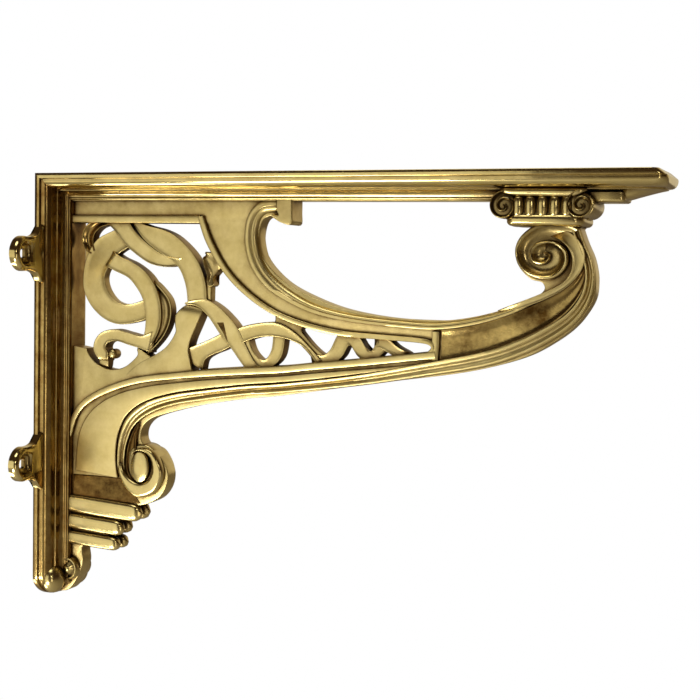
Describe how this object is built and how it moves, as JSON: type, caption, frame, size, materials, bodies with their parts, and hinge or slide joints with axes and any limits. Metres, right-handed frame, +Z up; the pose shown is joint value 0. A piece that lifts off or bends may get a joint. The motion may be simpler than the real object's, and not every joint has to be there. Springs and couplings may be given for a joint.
{
  "type": "shelf bracket",
  "caption": "Cast scrollwork shelf bracket with a moulded shelf strip, wall strip, screw lugs, pierced strapwork and a small capital.",
  "frame": {"origin": "on the wall face, at the middle of the wall strip's width and of the bracket's height", "axes": "+X away from the wall, along the shelf strip; +Z up; Y across the bracket, which is symmetric about Y = 0"},
  "size_m": [0.2774, 0.0718, 0.193],
  "materials": {
    "polished_brass": "polished and lacquered casting, darker in the recesses"
  },
  "bodies": {
    "root": {"bracket": "polished_brass"}
  },
  "joints": []
}
